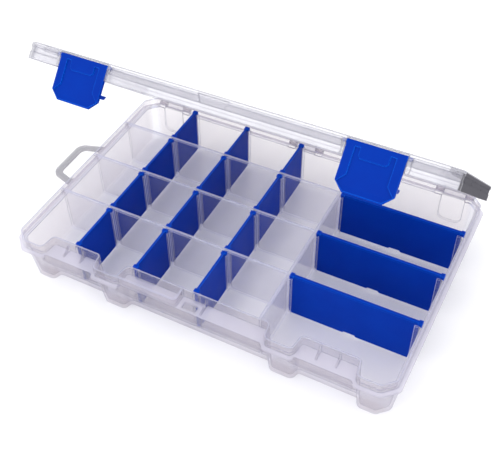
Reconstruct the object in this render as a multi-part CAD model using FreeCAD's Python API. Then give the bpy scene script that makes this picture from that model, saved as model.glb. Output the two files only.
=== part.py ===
import FreeCAD, Part
import math
import os

# Moulded tackle box: compartment tray, hinged lid, two latches and fifteen lift-out dividers.
# Millimetres. The origin is the middle of the tray's base plane, +X to the right along the
# long side, +Y towards the hinge, +Z up. The lid and latches are drawn shut, then turned open.

os.makedirs("parts", exist_ok=True)
V = FreeCAD.Vector

# Tray
LENGTH = 279.4                 # flange, along X
WIDTH = 184.2                  # flange, along Y
TRAY_HEIGHT = 40.0
WALL = 1.5
FLOOR = 1.6
CORNER_RADIUS = 5.0
LEAST_RADIUS = 1.0             # on corners of sunk or inner outlines
CORNER_CUT = 9.5               # bevel across each flange corner
FLANGE_LOW = 31.0
FLANGE_TOP = 33.0
RIM_STEP = 2.45                # flange edge to rim face
BODY_HALF_TOP = 135.5          # half length of the body under the flange
BODY_HALF_BASE = 134.6
BODY_BACK_BASE = 88.8
POST_FRONT_TOP = -88.7         # front of the posts under the flange
POST_FRONT_BASE = -83.6        # and at their feet
POST_RADIUS = 4.5
RECESS_RADIUS = 2.0
RECESS_LEAN = 1.5              # each recess narrows this much per side towards its back
RECESS_FACE = -77.7            # outer face of the front wall between the posts
RECESSES = [(-93.0, 20.0), (0.0, 53.0), (93.0, 20.0)]     # centre X and half width

# Ledge in front of the recessed wall
LEDGE_FRONT = -88.9
APRON_LOW = 25.2
GUSSET = 1.2

# Fixed partitions and the slots that hold the dividers
PARTITION = 1.4
BEAD = 2.2
BEAD_HEIGHT = 1.3
ROW_CENTRE = 7.98
ROW_PITCH = 42.67
PARTITION_ROWS = [ROW_CENTRE - ROW_PITCH, ROW_CENTRE, ROW_CENTRE + ROW_PITCH]
CROSS_X = 45.2
SHORT_COLUMNS = [-93.0, -47.0, -1.0]
SLOT_GAP = 1.9
RIB = 1.3
RIB_REACH = 2.4
RIB_TOP = 36.6

# Dividers
DIVIDER = 1.5
DIVIDER_LOW = 2.2
DIVIDER_TOP = 39.8
DIVIDER_BEAD = 1.6             # height of the long dividers' top bead
HEAD_LOW = 36.9
HEAD_THICK = 3.8
HEAD_REACH = 2.6
END_GAP = 0.6                  # divider end to wall face, clear of the partition beads
TOE_RADIUS = 3.0

# Lid
LID_LOW = 33.6
LID_TOP = 44.4
LID_GAP = 0.5                  # lid outline inside the flange outline
PANEL_LOW = 40.4               # sunk panel of the lid, over the partition tops
PANEL_TOP = 41.9
PANEL_INSET = 9.0
BORDER_LOW = 42.9
LID_OPEN = 42.3                # degrees

# Lid hinge
HINGE_Y = 93.6
HINGE_Z = 32.0
KNUCKLE = 2.2
HINGE_PIN = 1.2
HINGE_BORE = 1.3
HINGE_STATIONS = [-116.0, 0.0, 116.0]
LID_KNUCKLE_HALF = 8.0
EAR_NEAR = 8.3
EAR_FAR = 13.8
PAD_HALF = 8.5                 # stiffening pad on the back wall below each outer station
PAD_LOW = 9.0
PAD_BACK = 90.6

# Latches
LATCH_CENTRES = {"latch_left": -93.0, "latch_right": 93.0}
LATCH_HALF = 16.75
LATCH_LOW = 14.6
LATCH_THICK = 2.2
PIVOT_Y = -90.2
PIVOT_Z = 41.6
PIVOT_RADIUS = 1.4
LATCH_PIN = 1.1
LATCH_BORE = 1.2
LATCH_CORNER = 5.5
LATCH_SUNK = 0.8               # depth of the sunk face between the side bands
BAND = 5.2
CHEEK_NEAR = 17.05
CHEEK_FAR = 19.25
POCKET_FACE = -88.4


def inset(outline, distance):
    """Move each side of an anticlockwise outline inward, its corners staying concentric."""
    moved = []
    count = len(outline)
    for i in range(count):
        ax, ay, _ = outline[i - 1]
        bx, by, radius = outline[i]
        cx, cy, _ = outline[(i + 1) % count]
        before = V(bx - ax, by - ay, 0).normalize()
        after = V(cx - bx, cy - by, 0).normalize()
        turn = before.x * after.y - before.y * after.x
        reach = distance / (1 + before.dot(after))
        x = bx - (before.y + after.y) * reach
        y = by + (before.x + after.x) * reach
        moved.append((x, y, max(radius - math.copysign(distance, turn), LEAST_RADIUS)))
    return moved


def rounded_wire(outline, z):
    """Closed wire at height z, each corner rounded by its own radius."""
    edges = []
    start = None
    last = None
    count = len(outline)
    for i in range(count):
        x, y, radius = outline[i]
        corner = V(x, y, z)
        before = (corner - V(outline[i - 1][0], outline[i - 1][1], z)).normalize()
        following = outline[(i + 1) % count]
        after = (V(following[0], following[1], z) - corner).normalize()
        half_turn = before.getAngle(after) / 2
        reach = radius * math.tan(half_turn)
        inward = (after - before).normalize()
        first = corner - before * reach
        middle = corner + inward * (radius / math.cos(half_turn) - radius)
        end = corner + after * reach
        if last is not None:
            edges.append(Part.makeLine(last, first))
        edges.append(Part.Arc(first, middle, end).toShape())
        start = start or first
        last = end
    edges.append(Part.makeLine(last, start))
    return Part.Wire(edges)


def prism(outline, low, high):
    """Straight solid on a rounded outline."""
    return Part.Face(rounded_wire(outline, low)).extrude(V(0, 0, high - low))


def loft(lower, low, upper, high):
    """Solid with ruled sides between two outlines that have the same corners."""
    return Part.makeLoft([rounded_wire(lower, low), rounded_wire(upper, high)], True, True)


def block(x0, x1, y0, y1, z0, z1):
    return Part.makeBox(x1 - x0, y1 - y0, z1 - z0, V(x0, y0, z0))


def rod(x0, x1, y, z, radius):
    """Cylinder along X."""
    return Part.makeCylinder(radius, x1 - x0, V(x0, y, z), V(1, 0, 0))


def slab_yz(points, x0, x1):
    """Polygon of (y, z) points, x0 to x1 thick."""
    wire = Part.makePolygon([V(x0, y, z) for y, z in points + points[:1]])
    return Part.Face(wire).extrude(V(x1 - x0, 0, 0))


def slab_xz(points, y0, y1):
    """Polygon of (x, z) points, y0 to y1 thick."""
    wire = Part.makePolygon([V(x, y0, z) for x, z in points + points[:1]])
    return Part.Face(wire).extrude(V(0, y1 - y0, 0))


def edges_at(shape, z):
    """The edges that lie wholly at one height."""
    def level(box):
        return abs(box.ZMin - z) < 1e-4 and abs(box.ZMax - z) < 1e-4

    return [edge for edge in shape.Edges if level(edge.BoundBox)]


def bevelled(half_x, half_y, cut, radius):
    """Rectangle with bevelled, rounded corners."""
    return [
        (-half_x, -half_y + cut, radius),
        (-half_x + cut, -half_y, radius),
        (half_x - cut, -half_y, radius),
        (half_x, -half_y + cut, radius),
        (half_x, half_y - cut, radius),
        (half_x - cut, half_y, radius),
        (-half_x + cut, half_y, radius),
        (-half_x, half_y - cut, radius),
    ]


def stepped(half_x, back, front, recess, cut, widen=0.0):
    """Bevelled rectangle whose front edge steps back at each latch and at the middle."""
    outline = [
        (-half_x, front + cut, CORNER_RADIUS),
        (-half_x + cut, front, CORNER_RADIUS),
    ]
    for centre, half in RECESSES:
        mouth = half + widen
        narrow = mouth - RECESS_LEAN
        outline += [
            (centre - mouth, front, POST_RADIUS if recess > LEDGE_FRONT else 2.0),
            (centre - narrow, recess, RECESS_RADIUS),
            (centre + narrow, recess, RECESS_RADIUS),
            (centre + mouth, front, POST_RADIUS if recess > LEDGE_FRONT else 2.0),
        ]
    outline += [
        (half_x - cut, front, CORNER_RADIUS),
        (half_x, front + cut, CORNER_RADIUS),
        (half_x, back - cut, CORNER_RADIUS),
        (half_x - cut, back, CORNER_RADIUS),
        (-half_x + cut, back, CORNER_RADIUS),
        (-half_x, back - cut, CORNER_RADIUS),
    ]
    return outline


def tray_shell():
    """Outer walls, floor, flange and rim, as the filled outside and the cavity to remove."""
    half_x = LENGTH / 2
    half_y = WIDTH / 2
    rim_y = half_y - RIM_STEP
    base = stepped(BODY_HALF_BASE, BODY_BACK_BASE, POST_FRONT_BASE, RECESS_FACE, 7.5, 1.5)
    top = stepped(BODY_HALF_TOP, rim_y, POST_FRONT_TOP, RECESS_FACE, 7.5)
    rim = stepped(half_x - RIM_STEP, rim_y, -rim_y, RECESS_FACE, 8.1)
    flange = stepped(half_x, half_y, -half_y, LEDGE_FRONT, CORNER_CUT)

    body = loft(base, 0, top, FLANGE_TOP)
    body = body.makeFillet(1.6, edges_at(body, 0))
    plate = prism(flange, FLANGE_LOW, FLANGE_TOP)
    plate = plate.makeFillet(0.6, edges_at(plate, FLANGE_LOW) + edges_at(plate, FLANGE_TOP))
    collar = prism(rim, FLANGE_LOW + 0.5, TRAY_HEIGHT)
    collar = collar.makeFillet(0.5, edges_at(collar, TRAY_HEIGHT))
    outside = body.fuse([plate, collar])

    well = loft(inset(base, WALL), FLOOR, inset(top, WALL), FLANGE_TOP)
    well = well.makeFillet(2.4, edges_at(well, FLOOR))
    mouth = prism(inset(rim, WALL), FLANGE_TOP, TRAY_HEIGHT)
    lip = loft(inset(rim, WALL), TRAY_HEIGHT - 0.4, inset(rim, WALL - 0.4), TRAY_HEIGHT)
    return outside, well.fuse([mouth, lip])


def partition(x0, x1, y0, y1, along_x):
    """Upright partition wall with a bead along its top."""
    spread = (BEAD - PARTITION) / 2
    wide_x = 0 if along_x else spread
    wide_y = spread if along_x else 0
    wall = block(x0, x1, y0, y1, FLOOR / 2, TRAY_HEIGHT)
    bead_low = TRAY_HEIGHT - BEAD_HEIGHT
    bead = block(x0 - wide_x, x1 + wide_x, y0 - wide_y, y1 + wide_y, bead_low, TRAY_HEIGHT)
    tops = [
        e for e in edges_at(bead, TRAY_HEIGHT)
        if (e.BoundBox.XLength if along_x else e.BoundBox.YLength) > 50
    ]
    return wall.fuse(bead.makeFillet(0.5, tops))


def slot_ribs(across, wall, sign, along_x):
    """Pair of upright ribs on a wall, holding one divider end between them."""
    ribs = []
    for side in (-1, 1):
        middle = across + side * (SLOT_GAP + RIB) / 2
        near, far = sorted((wall - sign * 0.6, wall + sign * RIB_REACH))
        if along_x:
            ribs.append(block(near, far, middle - RIB / 2, middle + RIB / 2, FLOOR / 2, RIB_TOP))
        else:
            ribs.append(block(middle - RIB / 2, middle + RIB / 2, near, far, FLOOR / 2, RIB_TOP))
    return ribs


def divider_rows():
    """Low and high Y of each row's clear space between wall faces."""
    faces = [RECESS_FACE + WALL]
    for row in PARTITION_ROWS:
        faces += [row - PARTITION / 2, row + PARTITION / 2]
    faces.append(WIDTH / 2 - RIM_STEP - WALL)
    return [(faces[2 * i], faces[2 * i + 1]) for i in range(4)]


def tray_inside():
    """Partitions and slot ribs."""
    pieces = []
    for row in PARTITION_ROWS:
        pieces.append(partition(-LENGTH / 2, CROSS_X, row - PARTITION / 2, row + PARTITION / 2, True))
        pieces += slot_ribs(row, CROSS_X + PARTITION / 2, 1, True)
        pieces += slot_ribs(row, BODY_HALF_BASE - WALL, -1, True)
    half = WIDTH / 2
    pieces.append(partition(CROSS_X - PARTITION / 2, CROSS_X + PARTITION / 2, -half, half, False))
    for column in SHORT_COLUMNS:
        for low, high in divider_rows():
            pieces += slot_ribs(column, low, 1, False)
            pieces += slot_ribs(column, high, -1, False)
    return pieces


def gusset(x, reach):
    """Small triangular web between the recessed wall and the ledge."""
    points = [(RECESS_FACE + 0.5, FLANGE_TOP - 0.5), (RECESS_FACE + 0.5, 38.0), (RECESS_FACE, 38.0)]
    points += [(reach, FLANGE_TOP), (reach, FLANGE_TOP - 0.5)]
    return slab_yz(points, x - GUSSET / 2, x + GUSSET / 2)


def tray_front():
    """Aprons, gussets and the small pocket on the front ledge."""
    pieces = []
    for centre, half in RECESSES:
        apron = block(centre - half - 2.5, centre + half + 2.5, LEDGE_FRONT, LEDGE_FRONT + WALL,
                      APRON_LOW, FLANGE_TOP - 0.6)
        pieces.append(apron)
    for latch_x in LATCH_CENTRES.values():
        pieces += [gusset(latch_x - 6.5, -85.2), gusset(latch_x + 6.5, -85.2)]
    pieces.append(gusset(8.0, -87.0))
    front = LEDGE_FRONT
    pocket = [(-57.0, front, 0.5), (-9.0, front, 3.0), (-9.0, -77.0, 0.5), (-57.0, -77.0, 0.5)]
    front = LEDGE_FRONT + WALL
    inner = [(-58.0, front, 0.5), (-10.5, front, 1.5), (-10.5, -76.0, 0.5), (-58.0, -76.0, 0.5)]
    low = FLANGE_TOP - 0.6
    fence = prism(pocket, low, TRAY_HEIGHT).cut(prism(inner, low, TRAY_HEIGHT))
    pieces.append(fence.common(block(-55.0, -8.0, -95.0, RECESS_FACE + 0.5, 30.0, 41.0)))
    return pieces


def hang_loop():
    """Flat loop on the left end, level with the flange."""
    root = -LENGTH / 2 + 1.5
    tip = -158.4
    outer = [(tip, -17.0, 8.0), (root, -23.5, 0.4), (root, 25.0, 0.4), (tip, 18.5, 8.0)]
    near = -LENGTH / 2
    far = tip + 5.2
    hole = [(far, -13.5, 5.0), (near, -17.5, 2.0), (near, 19.0, 2.0), (far, 15.0, 5.0)]
    loop = prism(outer, FLANGE_LOW, FLANGE_TOP).cut(prism(hole, FLANGE_LOW, FLANGE_TOP))
    faces = edges_at(loop, FLANGE_LOW) + edges_at(loop, FLANGE_TOP)
    return loop.makeFillet(0.5, [e for e in faces if e.BoundBox.XMax < root - 0.1])


def hinge_ears():
    """Bored ears on the back flange, a pair at each hinge station."""
    ears = []
    for station in HINGE_STATIONS:
        for side in (-1, 1):
            x0, x1 = sorted((station + side * EAR_NEAR, station + side * EAR_FAR))
            web = slab_yz([(90.0, 30.0), (90.0, 33.0), (HINGE_Y, 33.0), (HINGE_Y, 30.0)], x0, x1)
            ears.append(rod(x0, x1, HINGE_Y, HINGE_Z, KNUCKLE).fuse(web))
    return ears


def hinge_pads():
    """Pad with a rounded foot on the back wall, hanging from the flange below each outer station."""
    pads = []
    for station in (HINGE_STATIONS[0], HINGE_STATIONS[-1]):
        x0 = station - PAD_HALF
        x1 = station + PAD_HALF
        pad = block(x0, x1, BODY_BACK_BASE - 0.4, PAD_BACK, PAD_LOW, FLANGE_LOW + 0.5)
        foot = [e for e in edges_at(pad, PAD_LOW) if e.BoundBox.YLength > 1]
        pads.append(pad.makeFillet(5.0, foot))
    return pads


def make_tray():
    outside, cavity = tray_shell()
    inside = [piece.common(outside) for piece in tray_inside()]
    outer = tray_front() + [hang_loop()] + hinge_ears() + hinge_pads()
    tray = outside.cut(cavity).fuse(inside + outer)
    tools = []
    for station in HINGE_STATIONS:
        reach = EAR_FAR + 1
        tools.append(rod(station - reach, station + reach, HINGE_Y, HINGE_Z, HINGE_BORE))
        tools.append(block(station - EAR_NEAR, station + EAR_NEAR, 90.9, 97.0, 29.0, 33.5))
    catch = [(-6.0, -86.6, 1.2), (4.0, -86.6, 1.2), (4.0, -81.2, 1.2), (-6.0, -81.2, 1.2)]
    tools.append(prism(catch, FLANGE_LOW - 1, FLANGE_TOP + 1))
    return tray.cut(tools).removeSplitter()


def make_lid():
    """The lid, drawn shut."""
    outline = bevelled(LENGTH / 2 - LID_GAP, WIDTH / 2 - LID_GAP, CORNER_CUT - 0.3, CORNER_RADIUS)
    front = -WIDTH / 2 + LID_GAP
    shell = prism(outline, LID_LOW, LID_TOP)
    shell = shell.makeFillet(1.3, edges_at(shell, LID_TOP))
    hollow = prism(inset(outline, WALL), LID_LOW, BORDER_LOW)
    panel = prism(inset(outline, PANEL_INSET - WALL), PANEL_LOW, BORDER_LOW + 0.5)
    sunk = prism(inset(outline, PANEL_INSET), PANEL_TOP, LID_TOP)
    groove = prism(inset(outline, -1.0), 38.2, 41.4).cut(prism(inset(outline, 0.4), 38.2, 41.4))
    lid = shell.cut([hollow, groove]).fuse(panel).cut(sunk)

    added = []
    removed = []
    top = BORDER_LOW + 0.5
    inner = POCKET_FACE + WALL
    for centre in LATCH_CENTRES.values():
        x0 = centre - CHEEK_NEAR
        x1 = centre + CHEEK_NEAR
        removed.append(block(x0, x1, front - 1, POCKET_FACE, LID_LOW - 1, 43.5))
        x0 = centre - CHEEK_FAR
        x1 = centre + CHEEK_FAR
        added.append(block(x0, x1, POCKET_FACE, inner, LID_LOW, top))
        for side in (-1, 1):
            x0, x1 = sorted((centre + side * CHEEK_NEAR, centre + side * CHEEK_FAR))
            added.append(block(x0, x1, front, inner, LID_LOW, top))
    for x in (-139.0, 138.4):
        for y in (-77.0, -40.0, 20.0, 63.0):
            added.append(block(x, x + 0.6, y - 0.8, y + 0.8, 37.0, 42.6))
    lid = lid.cut(removed).fuse(added)

    for station in HINGE_STATIONS:
        x0 = station - LID_KNUCKLE_HALF
        x1 = station + LID_KNUCKLE_HALF
        knuckle_top = (HINGE_Y, HINGE_Z + KNUCKLE)
        knuckle_near = (HINGE_Y - KNUCKLE, HINGE_Z)
        web = [(91.2, LID_LOW), (91.2, 36.8), knuckle_top, (HINGE_Y, HINGE_Z), knuckle_near]
        arm = slab_yz(web, x0, x1)
        reach = EAR_FAR - 0.4
        pin = rod(station - reach, station + reach, HINGE_Y, HINGE_Z, HINGE_PIN)
        lid = lid.fuse([rod(x0, x1, HINGE_Y, HINGE_Z, KNUCKLE), arm, pin])
    tools = []
    reach = CHEEK_FAR + 0.5
    for centre in LATCH_CENTRES.values():
        tools.append(rod(centre - reach, centre + reach, PIVOT_Y, PIVOT_Z, LATCH_BORE))
    notch = [(-14.6, 43.0), (5.7, 43.0), (3.0, 38.0), (-12.0, 38.0)]
    tools.append(slab_xz(notch, front - 1, front + 0.7))
    return lid.cut(tools).removeSplitter()


def mirrored(centre, half):
    """Closed outline from the (offset, z) points of its left half, listed from the top down."""
    left = [(centre - x, z) for x, z in half]
    right = [(centre + x, z) for x, z in reversed(half)]
    return left + right


def make_latch(centre):
    """One latch, drawn shut: plate, pivot with stub pins, and the hook that goes under the apron."""
    front = -WIDTH / 2 + LID_GAP
    back = front + LATCH_THICK
    outer = LATCH_HALF
    foot = outer - LATCH_CORNER
    shoulder = LATCH_LOW + LATCH_CORNER
    profile = [(outer, PIVOT_Z), (outer, shoulder), (foot, LATCH_LOW)]
    plate = slab_xz(mirrored(centre, profile), front, back)
    border = []
    for edge in plate.Edges:
        box = edge.BoundBox
        if box.YMax < front + 1e-4 and box.ZMin < PIVOT_Z - 1:
            border.append(edge)
    plate = plate.makeFillet(0.6, border)

    pivot = rod(centre - outer, centre + outer, PIVOT_Y, PIVOT_Z, PIVOT_RADIUS)
    reach = CHEEK_FAR - 0.25
    pins = rod(centre - reach, centre + reach, PIVOT_Y, PIVOT_Z, LATCH_PIN)
    barb = [(-83.6, 24.9), (-83.2, 24.4), (-84.4, 22.9), (-86.0, 22.6)]
    hook = slab_yz([(back - 0.5, 22.6), (back - 0.5, 24.9)] + barb, centre - outer, centre + outer)

    # The sunk face runs between the side bands, widens to the lower corners and ends in a lip.
    band = outer - BAND
    face = [(band, 40.0), (band, 24.5), (outer - 0.8, shoulder - 0.4), (foot - 0.4, LATCH_LOW + 0.8)]
    sunk = slab_xz(mirrored(centre, face), front - 1, front + LATCH_SUNK)
    lip = [(front + 1, 19.6), (front + 1, LATCH_LOW), (front + 0.1, LATCH_LOW)]
    sunk = sunk.cut(slab_yz(lip, centre - outer, centre + outer))
    pad = slab_xz(mirrored(centre, [(8.5, 40.0), (8.5, 35.6), (7.1, 34.2)]), front, front + 1)
    rim = [e for e in pad.Edges if e.BoundBox.YMax < front + 1e-4 and e.BoundBox.ZMin < 39]
    pad = pad.makeFillet(0.4, rim)
    return plate.fuse([pivot, pins, hook]).cut(sunk).fuse(pad).removeSplitter()


def toe_rounded(points, middle, slab):
    """Divider plate on four corner points, its two lower corners rounded."""
    half = DIVIDER / 2
    plate = slab(points, middle - half, middle + half)
    toes = []
    for edge in plate.Edges:
        box = edge.BoundBox
        if box.ZMax < DIVIDER_LOW + 1e-4 and abs(edge.Length - DIVIDER) < 1e-4:
            toes.append(edge)
    return plate.makeFillet(TOE_RADIUS, toes)


def flared_head(tip, inward, middle, slab):
    """Wedge at one upper corner of a divider, deepest at the tip and riding above the slot ribs."""
    root = tip + inward * HEAD_REACH
    points = [(tip, DIVIDER_TOP), (tip, HEAD_LOW)]
    points += [(root, DIVIDER_TOP - DIVIDER_BEAD), (root, DIVIDER_TOP)]
    head = slab(points, middle - HEAD_THICK / 2, middle + HEAD_THICK / 2)
    return head.makeFillet(0.3, edges_at(head, DIVIDER_TOP))


def make_short_divider(column, low, high, back_row):
    """Plate across one row with a flared head at each end."""
    start = low + END_GAP
    end = high - END_GAP
    foot = end - 0.85 if back_row else end
    corners = [(start, DIVIDER_LOW), (foot, DIVIDER_LOW), (end, DIVIDER_TOP), (start, DIVIDER_TOP)]
    plate = toe_rounded(corners, column, slab_yz)
    heads = [flared_head(start, 1, column, slab_yz), flared_head(end, -1, column, slab_yz)]
    return plate.fuse(heads).removeSplitter()


def make_long_divider(row):
    """Plate across the long bay with a bead along its top and a flared head at each end."""
    start = CROSS_X + PARTITION / 2 + END_GAP
    foot = BODY_HALF_BASE - WALL - END_GAP
    shoulder = BODY_HALF_TOP - WALL - END_GAP
    end = LENGTH / 2 - RIM_STEP - WALL - END_GAP
    corners = [(start, DIVIDER_LOW), (foot, DIVIDER_LOW), (shoulder, DIVIDER_TOP), (start, DIVIDER_TOP)]
    plate = toe_rounded(corners, row, slab_xz)
    bead = block(start, end, row - 1.2, row + 1.2, DIVIDER_TOP - DIVIDER_BEAD, DIVIDER_TOP)
    bead = bead.makeFillet(0.6, [e for e in edges_at(bead, DIVIDER_TOP) if e.BoundBox.XLength > 50])
    heads = [flared_head(start, 1, row, slab_xz), flared_head(end, -1, row, slab_xz)]
    notch = [(85.0, DIVIDER_LOW - 1), (86.2, DIVIDER_LOW + 1.2)]
    notch += [(93.8, DIVIDER_LOW + 1.2), (95.0, DIVIDER_LOW - 1)]
    return plate.fuse([bead] + heads).cut(slab_xz(notch, row - 2, row + 2)).removeSplitter()


def turned_open(shape):
    """The lid's rest position: turned back about the hinge."""
    return shape.rotated(V(0, HINGE_Y, HINGE_Z), V(-1, 0, 0), LID_OPEN)


nodes = {"tray": make_tray(), "lid": turned_open(make_lid())}
for name, centre in LATCH_CENTRES.items():
    nodes[name] = turned_open(make_latch(centre))
for r, (row_low, row_high) in enumerate(divider_rows(), 1):
    for c, column in enumerate(SHORT_COLUMNS, 1):
        nodes[f"divider_r{r}_c{c}"] = make_short_divider(column, row_low, row_high, r == 4)
for i, row in enumerate(PARTITION_ROWS, 1):
    nodes[f"divider_long_{i}"] = make_long_divider(row)

for name, shape in nodes.items():
    print(name, shape.isValid(), len(shape.Solids), len(shape.Faces), round(shape.Volume / 1000, 1))
    shape.exportStep(f"parts/{name}.step")
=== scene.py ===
import math

import bpy
from mathutils import Matrix, Vector


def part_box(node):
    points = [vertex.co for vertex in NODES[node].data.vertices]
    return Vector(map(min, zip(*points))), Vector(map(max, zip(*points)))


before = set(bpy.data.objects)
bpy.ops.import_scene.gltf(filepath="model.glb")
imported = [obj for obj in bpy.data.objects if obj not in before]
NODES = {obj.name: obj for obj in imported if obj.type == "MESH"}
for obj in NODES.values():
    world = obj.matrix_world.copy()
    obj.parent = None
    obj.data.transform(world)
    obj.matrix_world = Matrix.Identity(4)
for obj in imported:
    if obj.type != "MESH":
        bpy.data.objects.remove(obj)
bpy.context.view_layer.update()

# Camera: metres, degrees, and millimetres for the lens and the sensor
AIM = Vector((-0.0312, -0.0038, 0.020))
AZIMUTH = 31.09
ELEVATION = 45.29
DISTANCE = 0.6088
ROLL = 3.17
LENS = 60.97
SENSOR = 36
SHIFT = (0.0805, -0.007)       # frames the box as in the photograph
NEAREST_SEEN = 0.01

# Colours, linear
MOULDED_BLUE = (0.000, 0.0265, 0.315, 1)
MOULDED_BLUE_CLOUD = (0.000, 0.033125, 0.3528, 1)
# painted highlight on the blue edges
MOULDED_BLUE_EDGE_HIGHLIGHT = (0.004, 0.150, 0.850, 1)
TRAY_TINT = (0.982, 0.980, 0.985, 1)
TRAY_WALL_TINT = (0.930, 0.915, 0.918, 1)
TRAY_SLANT_TINT = (0.78, 0.77, 0.81, 1)
TRAY_BODY = (0.80, 0.79, 0.90, 1)
# painted shade on the tray's outer edges, painted highlight on its inner edges
TRAY_EDGE_SHADE = (0.27, 0.27, 0.35, 1)
TRAY_INNER_EDGE_HIGHLIGHT = (0.66, 0.67, 0.86, 1)
# painted highlight on the rim and partition tops
TRAY_TOPS_HIGHLIGHT = (0.60, 0.60, 0.74, 1)
HANG_LOOP = (0.40, 0.40, 0.43, 1)
LID_TINT = (0.968, 0.966, 0.972, 1)
LID_SLANT_TINT = (0.34, 0.34, 0.37, 1)
LID_BODY = (0.80, 0.79, 0.85, 1)
# painted shade along the lid's edges
LID_EDGE_SHADE = (0.22, 0.22, 0.27, 1)
# painted shade on the lid's right end wall
LID_END_SHADE = (0.110, 0.107, 0.122, 1)
FLOOR_WHITE = (0.93, 0.93, 0.935, 1)
SURROUNDINGS = (0.96, 0.965, 0.98, 1)

# Distances on the box, metres
LID_END_DEPTH = 0.0024         # the lid's right end wall lies within this of its end
FLANGE_DROP = 0.0070           # from the rim's top down to the flange's
FLANGE_THICK = 0.0020
FLANGE_MARGIN = 0.0006
TOPS_DEPTH = 0.0008            # the tops of the partition beads lie within this of the rim's
END_INSET = 0.0069             # from the tray's outer edges to just inside its walls
FRONT_INSET = 0.0163
BACK_INSET = 0.0053
SOFT_STEP = 0.0003             # one place shades into the next over this

# Places on the box, from the parts' extents, metres
TRAY_LOW, TRAY_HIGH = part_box("tray")
HALF_LENGTH = TRAY_HIGH.x
HALF_WIDTH = -TRAY_LOW.y
RIM_Z = TRAY_HIGH.z
LID_END_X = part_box("lid")[1].x - LID_END_DEPTH
HANG_LOOP_X = -HALF_LENGTH - SOFT_STEP
FLANGE_TOP = RIM_Z - FLANGE_DROP
FLANGE_BAND = (FLANGE_TOP - FLANGE_THICK - FLANGE_MARGIN, FLANGE_TOP + FLANGE_MARGIN)
TOPS_Z = RIM_Z - TOPS_DEPTH
INSIDE_X = HALF_LENGTH - END_INSET
INSIDE_Y = (FRONT_INSET - HALF_WIDTH, HALF_WIDTH - BACK_INSET)

# Plastic
PLASTIC_IOR = 1.49
CLOUD_SPAN = (0.3, 0.7)        # the part of the cloudy noise that is used
SQUARE_FROM = 0.86             # a face counts as square to an axis from this cosine on
SQUARE_SOFT = 0.10
MILK_LIMITS = (0.02, 0.97)     # never quite clear, never quite solid
# edges made milkier so the painted edge shade and highlight show
EDGE_SHADE_AND_HIGHLIGHT_MILK = 0.80
# painted highlight: the level flange and the tops are made milkier
FLANGE_HIGHLIGHT_MILK = 0.36
TOPS_HIGHLIGHT_MILK = 0.42
LOOP_MILK = 0.20
# painted shade: the lid's right end wall made nearly solid
LID_END_SHADE_MILK = 0.90
GLOW_SHARE = 0.42              # of the cloudy plastic, the part that lets light through
EDGE_HIGHLIGHT_SHARE = 0.8                # how far an edge goes towards the painted highlight blue

# Floor and lights, metres and watts
FLOOR_HALF = 4.0
FLOOR_Z = -0.0003
LIGHTS_AIM = Vector((0, 0, 0.03))
LIGHTS = {                     # place, size, power
    "key": ((-0.5, -1.0, 1.1), 1.1, 5),
    "fill": ((0.9, -0.5, 0.9), 1.0, 1.5),
    "back": ((0.1, 1.1, 1.0), 1.0, 2),
}


def aim_camera():
    """Camera at the set angle, turned by the roll about its own line of sight."""
    azimuth, elevation, roll = (math.radians(a) for a in (AZIMUTH, ELEVATION, ROLL))
    back = Vector((
        math.sin(azimuth) * math.cos(elevation),
        -math.cos(azimuth) * math.cos(elevation),
        math.sin(elevation),
    ))
    right = (-back).cross(Vector((0, 0, 1))).normalized()
    up = back.cross(right)
    across = right * math.cos(roll) - up * math.sin(roll)
    upward = right * math.sin(roll) + up * math.cos(roll)
    data = bpy.data.cameras.new("camera")
    data.sensor_width = SENSOR
    data.lens = LENS
    data.shift_x, data.shift_y = SHIFT
    data.clip_start = NEAREST_SEEN
    camera = bpy.data.objects.new("camera", data)
    turned = Matrix((across, upward, back)).transposed().to_4x4()
    camera.matrix_world = Matrix.Translation(AIM + back * DISTANCE) @ turned
    bpy.context.scene.collection.objects.link(camera)
    bpy.context.scene.camera = camera


def area_light(name, place, size, power):
    """Soft square light that looks at the middle of the box."""
    data = bpy.data.lights.new(name, "AREA")
    data.shape = "SQUARE"
    data.size = size
    data.energy = power
    light = bpy.data.objects.new(name, data)
    light.location = place
    light.rotation_euler = (LIGHTS_AIM - Vector(place)).to_track_quat("-Z", "Y").to_euler()
    bpy.context.scene.collection.objects.link(light)


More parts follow.
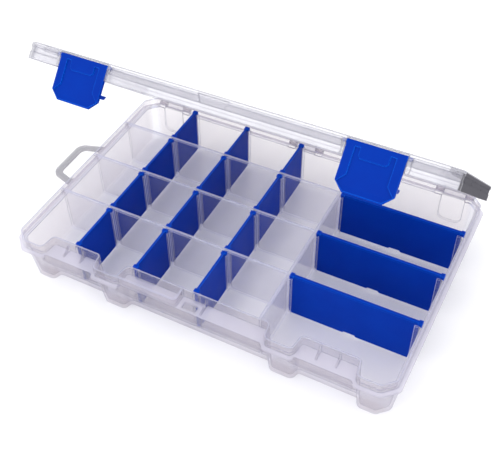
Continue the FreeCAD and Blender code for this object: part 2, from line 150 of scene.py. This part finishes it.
class Graph:
    """A material's node tree, with short calls to add nodes and join them."""

    def __init__(self, name):
        self.material = bpy.data.materials.new(name)
        self.material.use_nodes = True
        self.tree = self.material.node_tree
        self.tree.nodes.clear()
        self.output = self.node("ShaderNodeOutputMaterial")

    def node(self, kind, inputs=None, **settings):
        made = self.tree.nodes.new(kind)
        for key, value in settings.items():
            setattr(made, key, value)
        for key, value in (inputs or {}).items():
            socket = made.inputs[key]
            if isinstance(value, bpy.types.NodeSocket):
                self.tree.links.new(value, socket)
            else:
                socket.default_value = value
        return made

    def place(self):
        return self.node("ShaderNodeTexCoord").outputs["Object"]

    def noise(self, scale, detail=3.0, roughness=0.5, stretch=(1, 1, 1)):
        mapped = self.node("ShaderNodeMapping", {"Vector": self.place(), "Scale": stretch})
        made = self.node("ShaderNodeTexNoise", {
            "Vector": mapped.outputs[0], "Scale": scale, "Detail": detail, "Roughness": roughness})
        return made.outputs["Fac"]

    def ranged(self, value, low, high, start=0.0, end=1.0):
        made = self.node("ShaderNodeMapRange", {
            "Value": value, "From Min": start, "From Max": end, "To Min": low, "To Max": high})
        return made.outputs[0]

    def maths(self, operation, first, second=0.0):
        made = self.node("ShaderNodeMath", {0: first, 1: second}, operation=operation)
        return made.outputs[0]

    def mixed(self, factor, first, second):
        made = self.node("ShaderNodeMix", {"Factor": factor, "A": first, "B": second}, data_type="RGBA")
        return made.outputs["Result"]

    def clouded(self, cloud, low, high):
        """From low to high as the cloudy noise goes."""
        return self.ranged(cloud, low, high, *CLOUD_SPAN)

    def blend(self, factor, first, second):
        """The first shader at 0, the second at 1."""
        return self.node("ShaderNodeMixShader", {0: factor, 1: first, 2: second}).outputs[0]

    def edges(self, radius, gain):
        """0 on flat faces, rising to 1 on the moulding's rounded edges."""
        soft = self.node("ShaderNodeBevel", {"Radius": radius}, samples=4)
        flat = self.node("ShaderNodeNewGeometry")
        dot = self.node("ShaderNodeVectorMath", {0: soft.outputs[0], 1: flat.outputs["Normal"]},
                        operation="DOT_PRODUCT")
        return self.node("ShaderNodeMapRange", {
            "Value": dot.outputs["Value"], "From Min": 1.0, "From Max": 1.0 - 1.0 / gain}).outputs[0]

    def above(self, value, threshold, soft=SOFT_STEP):
        """0 below a threshold, 1 above it."""
        return self.ranged(value, 0.0, 1.0, threshold, threshold + soft)

    def below(self, value, threshold):
        return self.maths("SUBTRACT", 1.0, self.above(value, threshold))

    def within(self, value, limits):
        return self.maths("MULTIPLY", self.above(value, limits[0]), self.below(value, limits[1]))

    def position(self):
        """Where the point lies: x, y and z, in metres."""
        place = self.node("ShaderNodeNewGeometry").outputs["Position"]
        return self.node("ShaderNodeSeparateXYZ", {"Vector": place}).outputs[:]

    def square_to(self, axis):
        """1 on faces that look straight along an axis, either way."""
        normal = self.node("ShaderNodeNewGeometry").outputs["Normal"]
        along = self.node("ShaderNodeSeparateXYZ", {"Vector": normal}).outputs[axis]
        return self.above(self.maths("ABSOLUTE", along), SQUARE_FROM, SQUARE_SOFT)

    def bump(self, height, strength, distance, under=None):
        inputs = {"Height": height, "Strength": strength, "Distance": distance}
        if under is not None:
            inputs["Normal"] = under
        return self.node("ShaderNodeBump", inputs).outputs[0]

    def finish(self, shader):
        self.tree.links.new(shader, self.output.inputs["Surface"])
        return self.material


def tray_details(g, edge, milk):
    """Flange and tops are milkier and paler as a painted highlight, the loop milkier than the walls;
    inner edges get a painted highlight, outer edges painted shade.
    """
    x, y, z = g.position()
    level = g.square_to("Z")
    flange = g.maths("MULTIPLY", level, g.within(z, FLANGE_BAND))
    tops = g.maths("MULTIPLY", level, g.above(z, TOPS_Z))
    loop = g.below(x, HANG_LOOP_X)
    # painted highlight on the level flange and tops; the loop is milkier
    for place, more in ((flange, FLANGE_HIGHLIGHT_MILK), (tops, TOPS_HIGHLIGHT_MILK), (loop, LOOP_MILK)):
        milk = g.maths("ADD", milk, g.maths("MULTIPLY", place, more))
    inside = g.maths("MULTIPLY", g.within(y, INSIDE_Y), g.below(g.maths("ABSOLUTE", x), INSIDE_X))
    # painted shade on outer edges, painted highlight on inner edges
    edge_shade_and_highlight = g.mixed(inside, TRAY_EDGE_SHADE, TRAY_INNER_EDGE_HIGHLIGHT)
    colour = g.mixed(edge, TRAY_BODY, edge_shade_and_highlight)
    colour = g.mixed(loop, g.mixed(tops, colour, TRAY_TOPS_HIGHLIGHT), HANG_LOOP)
    return milk, colour, g.mixed(inside, TRAY_WALL_TINT, TRAY_TINT), 0.0


def lid_details(g, edge, milk):
    """Painted shade: the lid's right end wall is painted a dark, nearly solid grey for the shade it
    lies in.
    """
    end = g.maths("MULTIPLY", g.square_to("X"), g.above(g.position()[0], LID_END_X))
    milk = g.maths("ADD", milk, g.maths("MULTIPLY", end, LID_END_SHADE_MILK))
    colour = g.mixed(end, g.mixed(edge, LID_BODY, LID_EDGE_SHADE), LID_END_SHADE)
    return milk, colour, LID_TINT, end


def see_through(name, details, slant_tint, facing, grazing, darkening, roughness):
    """Moulded see-through plastic: clear head on, milky at a low angle, milkier along its edges, which
    carry a painted edge shade and, inside the tray, a painted highlight.
    """
    g = Graph(name)
    cloud = g.noise(scale=38, detail=4, roughness=0.55)
    grain = g.noise(scale=1500, detail=2, roughness=0.6)
    ripple = g.noise(scale=70, detail=2, roughness=0.5, stretch=(1, 1, 0.35))
    edge = g.edges(radius=0.0008, gain=7.0)
    slant = g.node("ShaderNodeLayerWeight", {"Blend": 0.5}).outputs["Facing"]
    milk = g.ranged(g.maths("POWER", slant, 3.0), facing, grazing)
    milk = g.maths("ADD", milk, g.clouded(cloud, -0.015, 0.015))
    # edges milkier, carrying the painted edge shade and highlight
    milk = g.maths("ADD", milk, g.maths("MULTIPLY", edge, EDGE_SHADE_AND_HIGHLIGHT_MILK))
    milk, colour, tint, painted_shade_matt = details(g, edge, milk)
    milk = g.node("ShaderNodeClamp", {
        "Value": milk, "Min": MILK_LIMITS[0], "Max": MILK_LIMITS[1]}).outputs[0]
    wave = g.bump(ripple, strength=0.25, distance=0.0004)
    normal = g.bump(grain, strength=0.10, distance=0.00006, under=wave)
    solid = g.node("ShaderNodeBsdfPrincipled", {
        "Base Color": colour,
        "Roughness": g.clouded(cloud, roughness * 0.8, roughness * 1.3),
        "IOR": PLASTIC_IOR, "Normal": normal})
    glow = g.node("ShaderNodeBsdfTranslucent", {"Color": colour, "Normal": normal})
    dull = g.node("ShaderNodeBsdfDiffuse", {"Color": colour, "Normal": normal})
    cloudy = g.blend(GLOW_SHARE, solid.outputs[0], glow.outputs[0])
    # painted shade: on the lid's right end the plastic turns dull and solid
    cloudy = g.blend(painted_shade_matt, cloudy, dull.outputs[0])
    depth = g.mixed(g.maths("POWER", slant, darkening), tint, slant_tint)
    clear = g.node("ShaderNodeBsdfTransparent", {"Color": depth})
    shine = g.node("ShaderNodeBsdfGlossy", {"Roughness": roughness * 0.6, "Normal": normal})
    glance = g.ranged(g.maths("POWER", slant, 4.0), 0.03, 0.40)
    open_part = g.blend(glance, clear.outputs[0], shine.outputs[0])
    return g.finish(g.blend(milk, open_part, cloudy))


def moulded_blue(name, flow):
    """Opaque blue moulding with a fine satin grain, faint flow lines along one direction and a painted
    highlight along its edges.
    """
    g = Graph(name)
    cloud = g.noise(scale=45, detail=4, roughness=0.6)
    grain = g.noise(scale=1900, detail=2, roughness=0.6)
    lines = g.noise(scale=260, detail=3, roughness=0.6, stretch=flow)
    edge = g.edges(radius=0.0006, gain=7.0)
    wave = g.bump(lines, strength=0.35, distance=0.00012)
    normal = g.bump(grain, strength=0.18, distance=0.00006, under=wave)
    shade = g.mixed(g.clouded(cloud, 0.0, 1.0), MOULDED_BLUE, MOULDED_BLUE_CLOUD)
    # painted highlight along the edges
    colour = g.mixed(g.maths("MULTIPLY", edge, EDGE_HIGHLIGHT_SHARE), shade, MOULDED_BLUE_EDGE_HIGHLIGHT)
    shader = g.node("ShaderNodeBsdfPrincipled", {
        "Base Color": colour, "Roughness": g.clouded(cloud, 0.30, 0.44), "IOR": PLASTIC_IOR,
        "Specular IOR Level": 0.035, "Normal": normal})
    return g.finish(shader.outputs[0])


def paint(node, material):
    """Give every slot of a CAD node the one material."""
    mesh = NODES[node].data
    if not mesh.materials:
        mesh.materials.append(material)
    for i in range(len(mesh.materials)):
        mesh.materials[i] = material


def pale_floor():
    """Plain pale floor under the box."""
    g = Graph("floor")
    grain = g.noise(scale=300, detail=2)
    normal = g.bump(grain, strength=0.02, distance=0.0001)
    shader = g.node("ShaderNodeBsdfPrincipled", {
        "Base Color": FLOOR_WHITE, "Roughness": 0.9, "Normal": normal})
    material = g.finish(shader.outputs[0])
    mesh = bpy.data.meshes.new("floor")
    corners = [(side_x * FLOOR_HALF, side_y * FLOOR_HALF, FLOOR_Z)
               for side_x, side_y in ((-1, -1), (1, -1), (1, 1), (-1, 1))]
    mesh.from_pydata(corners, [], [(0, 1, 2, 3)])
    mesh.materials.append(material)
    floor = bpy.data.objects.new("floor", mesh)
    bpy.context.scene.collection.objects.link(floor)


def studio():
    """White surroundings, a large soft key from the front left and gentler fills."""
    world = bpy.data.worlds.new("studio")
    world.use_nodes = True
    background = world.node_tree.nodes["Background"]
    background.inputs["Color"].default_value = SURROUNDINGS
    background.inputs["Strength"].default_value = 1.0
    bpy.context.scene.world = world
    for name, (place, size, power) in LIGHTS.items():
        area_light(name, place, size, power)
    bpy.context.scene.view_settings.view_transform = "Standard"
    bpy.context.scene.view_settings.exposure = 0.22
    bpy.context.scene.cycles.transparent_max_bounces = 48


def paint_box():
    """See-through tray and lid, blue dividers and latches."""
    paint("tray", see_through("tray_plastic", tray_details, TRAY_SLANT_TINT,
                              facing=0.035, grazing=0.30, darkening=3.0, roughness=0.22))
    paint("lid", see_through("lid_plastic", lid_details, LID_SLANT_TINT,
                             facing=0.16, grazing=0.40, darkening=2.5, roughness=0.12))
    divider_plastic = moulded_blue("divider_plastic", flow=(0.12, 0.12, 1))
    latch_plastic = moulded_blue("latch_plastic", flow=(1, 0.3, 0.3))
    for node in NODES:
        if node.startswith("divider"):
            paint(node, divider_plastic)
        if node.startswith("latch"):
            paint(node, latch_plastic)


paint_box()
pale_floor()
studio()
aim_camera()
